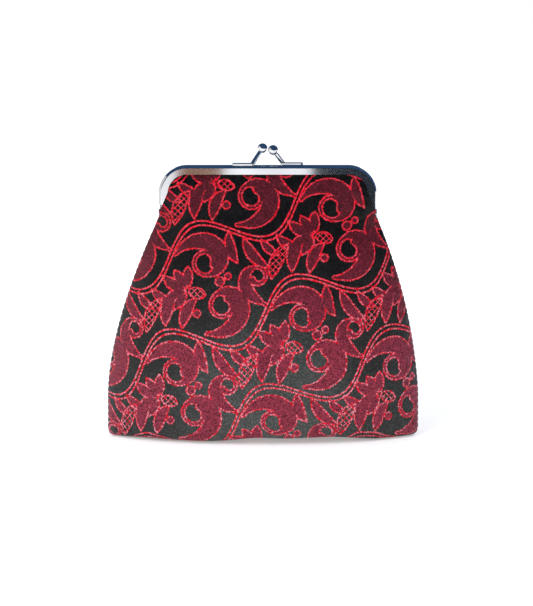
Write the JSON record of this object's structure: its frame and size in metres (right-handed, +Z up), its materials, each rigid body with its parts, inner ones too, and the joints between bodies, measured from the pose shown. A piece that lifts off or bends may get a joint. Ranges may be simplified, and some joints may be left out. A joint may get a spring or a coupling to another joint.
{
  "type": "coin purse",
  "caption": "Kiss-lock coin purse: a standing brocade pouch gathered into a hinged chrome snap frame with a ball clasp.",
  "frame": {"origin": "middle of the base, on the surface that the purse stands on", "axes": "+Z up through the frame, +X along the frame to the viewer's right, -Y out of the front"},
  "size_m": [0.1252, 0.0366, 0.1176],
  "materials": {
    "brocade": "black satin woven with crimson scrollwork",
    "wadding": "soft needled fleece",
    "lining": "black plain-weave satin",
    "thread": "twisted black sewing thread",
    "paper_cord": "twisted kraft paper",
    "rivet": "plated steel",
    "frame_chrome": "bright polished plating"
  },
  "bodies": {
    "pouch": {"front_brocade_pouch": "brocade", "rear_brocade_pouch": "brocade", "front_wadding_pouch": "wadding", "rear_wadding_pouch": "wadding", "front_lining_pouch": "lining", "rear_lining_pouch": "lining", "left_seam_stitches": "thread", "right_seam_stitches": "thread", "base_seam_stitches": "thread"},
    "front_half": {"front_frame": "frame_chrome", "front_clasp_arm": "frame_chrome", "front_clasp_ball": "frame_chrome", "front_paper_cord": "paper_cord", "front_brocade_neck": "brocade", "front_wadding_neck": "wadding", "front_lining_neck": "lining"},
    "rear_half": {"rear_frame": "frame_chrome", "rear_clasp_arm": "frame_chrome", "rear_clasp_ball": "frame_chrome", "rear_paper_cord": "paper_cord", "rear_brocade_neck": "brocade", "rear_wadding_neck": "wadding", "rear_lining_neck": "lining", "left_hinge_rivet": "rivet", "right_hinge_rivet": "rivet"}
  },
  "joints": [
    {"name": "front_frame_hinge", "type": "hinge", "parent": "pouch", "child": "front_half", "pos_m": [0, 0, 0.09], "axis": [1, 0, 0], "range_deg": [0, 45]},
    {"name": "rear_frame_hinge", "type": "hinge", "parent": "pouch", "child": "rear_half", "pos_m": [0, 0, 0.09], "axis": [1, 0, 0], "range_deg": [-45, 0]}
  ],
  "couplings": [
    {"joint": "rear_frame_hinge", "follows": "front_frame_hinge", "ratio": -1}
  ]
}
